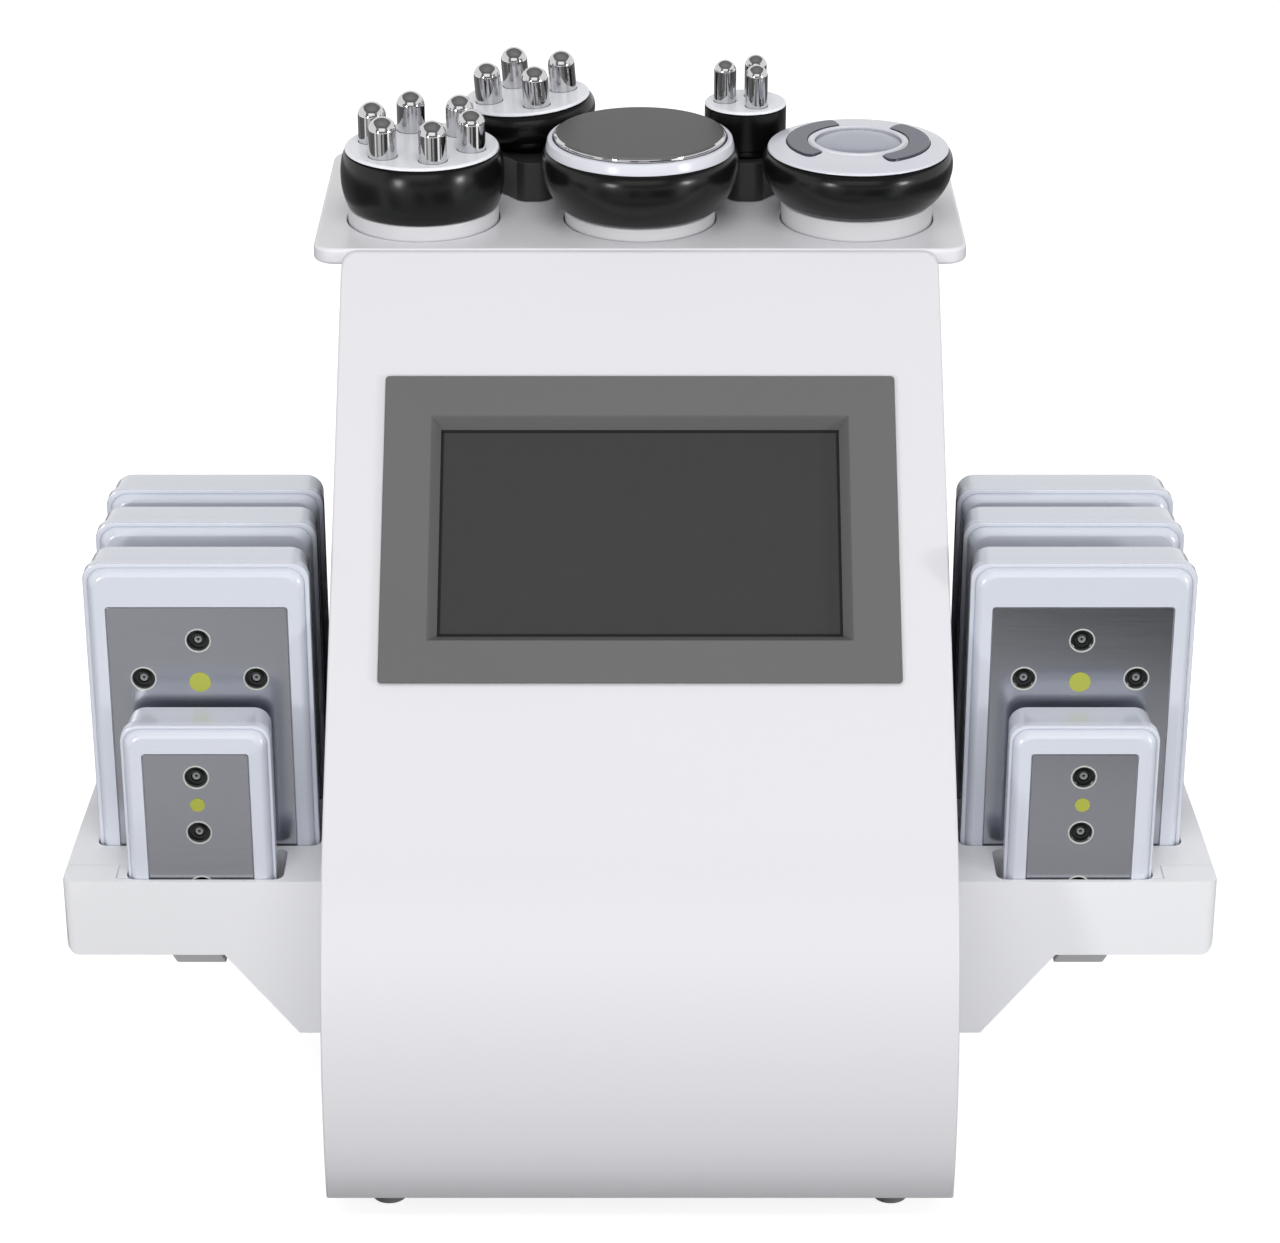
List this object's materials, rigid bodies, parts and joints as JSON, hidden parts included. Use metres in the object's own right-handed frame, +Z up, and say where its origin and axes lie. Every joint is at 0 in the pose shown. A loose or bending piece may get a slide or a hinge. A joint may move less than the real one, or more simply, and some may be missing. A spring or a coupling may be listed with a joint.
{
  "type": "cavitation slimming machine",
  "caption": "Wedge-shaped desktop body-treatment console with a sloping touch screen, a top tray of lift-out treatment heads and side holders of flat light pads.",
  "frame": {"origin": "centre of the box around the machine, on the ground that its feet stand on", "axes": "+Z up, +Y from the front to the rear wall, +X to the right as seen from the front"},
  "size_m": [0.4516, 0.3556, 0.3709],
  "materials": {
    "gloss_white": "glossy moulded white with a faint lavender tint",
    "tray_white": "satin moulded off-white",
    "holder_white": "satin moulded cool white",
    "pad_white": "glossy moulded bluish white",
    "cap_white": "glossy moulded white with a lavender tint",
    "bezel_grey": "fine satin mid grey",
    "screen_glass": "dark touch glass, switched off",
    "riser_grey": "glossy charcoal",
    "grip_black": "glossy black with soft highlights",
    "chrome": "polished electrode pins",
    "plate_silver": "brushed silver-grey plate",
    "disc_steel": "flat grey metal face with a polished bevel",
    "lens_blue": "frosted blue-grey lens",
    "foot_rubber": "mid grey rubber",
    "clip_grey": "satin light grey",
    "board_green": "green circuit board",
    "supply_steel": "zinc-plated sheet",
    "socket_black": "moulded black"
  },
  "bodies": {
    "machine": {"front_shell": "gloss_white", "rear_housing": "gloss_white", "base_plate": "supply_steel", "foot_front_left": "foot_rubber", "foot_front_right": "foot_rubber", "foot_rear_left": "foot_rubber", "foot_rear_right": "foot_rubber", "top_tray": "tray_white", "rear_riser": "riser_grey", "screen_bezel": "bezel_grey", "touch_screen": "screen_glass", "control_board": "board_green", "power_supply": "supply_steel", "pad_holder_left": "holder_white", "lead_clip_left": "clip_grey", "pad_holder_right": "holder_white", "lead_clip_right": "clip_grey", "handle_sockets": "socket_black", "pad_sockets": "socket_black", "fan_frame": "socket_black", "power_inlet": "socket_black"},
    "six_pole_head": {"six_pole_grip": "grip_black", "six_pole_collar": "tray_white", "six_pole_face": "cap_white", "six_pole_electrodes": "chrome"},
    "cavitation_head": {"cavitation_grip": "grip_black", "cavitation_collar": "tray_white", "cavitation_ring": "cap_white", "cavitation_transducer": "disc_steel"},
    "photon_head": {"photon_grip": "grip_black", "photon_collar": "tray_white", "photon_face": "cap_white", "photon_electrodes": "plate_silver", "photon_lens": "lens_blue"},
    "four_pole_head": {"four_pole_grip": "grip_black", "four_pole_collar": "grip_black", "four_pole_face": "cap_white", "four_pole_electrodes": "chrome"},
    "three_pole_head": {"three_pole_grip": "grip_black", "three_pole_collar": "grip_black", "three_pole_face": "cap_white", "three_pole_electrodes": "chrome"},
    "small_pad_left": {"small_pad_left_case": "pad_white", "small_pad_left_window": "plate_silver"},
    "large_pad_left_1": {"large_pad_left_1_case": "pad_white", "large_pad_left_1_window": "plate_silver"},
    "large_pad_left_2": {"large_pad_left_2_case": "pad_white", "large_pad_left_2_window": "plate_silver"},
    "large_pad_left_3": {"large_pad_left_3_case": "pad_white", "large_pad_left_3_window": "plate_silver"},
    "small_pad_right": {"small_pad_right_case": "pad_white", "small_pad_right_window": "plate_silver"},
    "large_pad_right_1": {"large_pad_right_1_case": "pad_white", "large_pad_right_1_window": "plate_silver"},
    "large_pad_right_2": {"large_pad_right_2_case": "pad_white", "large_pad_right_2_window": "plate_silver"},
    "large_pad_right_3": {"large_pad_right_3_case": "pad_white", "large_pad_right_3_window": "plate_silver"},
    "fan": {"fan_rotor": "socket_black"},
    "power_switch": {"power_switch_rocker": "socket_black"}
  },
  "joints": [
    {"name": "six_pole_lift", "type": "slide", "parent": "machine", "child": "six_pole_head", "axis": [0, 0, 1], "range_m": [0, 0.12]},
    {"name": "cavitation_lift", "type": "slide", "parent": "machine", "child": "cavitation_head", "axis": [0, 0, 1], "range_m": [0, 0.12]},
    {"name": "photon_lift", "type": "slide", "parent": "machine", "child": "photon_head", "axis": [0, 0, 1], "range_m": [0, 0.12]},
    {"name": "four_pole_lift", "type": "slide", "parent": "machine", "child": "four_pole_head", "axis": [-0.0785, 0, 0.9969], "range_m": [0, 0.1]},
    {"name": "three_pole_lift", "type": "slide", "parent": "machine", "child": "three_pole_head", "axis": [0, 0, 1], "range_m": [0, 0.1]},
    {"name": "small_pad_left_lift", "type": "slide", "parent": "machine", "child": "small_pad_left", "axis": [0, 0, 1], "range_m": [0, 0.06]},
    {"name": "large_pad_left_1_lift", "type": "slide", "parent": "machine", "child": "large_pad_left_1", "axis": [0, 0, 1], "range_m": [0, 0.08]},
    {"name": "large_pad_left_2_lift", "type": "slide", "parent": "machine", "child": "large_pad_left_2", "axis": [0, 0, 1], "range_m": [0, 0.08]},
    {"name": "large_pad_left_3_lift", "type": "slide", "parent": "machine", "child": "large_pad_left_3", "axis": [0, 0, 1], "range_m": [0, 0.08]},
    {"name": "small_pad_right_lift", "type": "slide", "parent": "machine", "child": "small_pad_right", "axis": [0, 0, 1], "range_m": [0, 0.06]},
    {"name": "large_pad_right_1_lift", "type": "slide", "parent": "machine", "child": "large_pad_right_1", "axis": [0, 0, 1], "range_m": [0, 0.08]},
    {"name": "large_pad_right_2_lift", "type": "slide", "parent": "machine", "child": "large_pad_right_2", "axis": [0, 0, 1], "range_m": [0, 0.08]},
    {"name": "large_pad_right_3_lift", "type": "slide", "parent": "machine", "child": "large_pad_right_3", "axis": [0, 0, 1], "range_m": [0, 0.08]},
    {"name": "fan_spin", "type": "hinge", "parent": "machine", "child": "fan", "pos_m": [0, 0.163, 0.123], "axis": [0, 1, 0], "continuous": true},
    {"name": "power_rock", "type": "hinge", "parent": "machine", "child": "power_switch", "pos_m": [0.09, 0.17162, 0.053], "axis": [1, 0, 0], "range_deg": [-16, 0]}
  ]
}
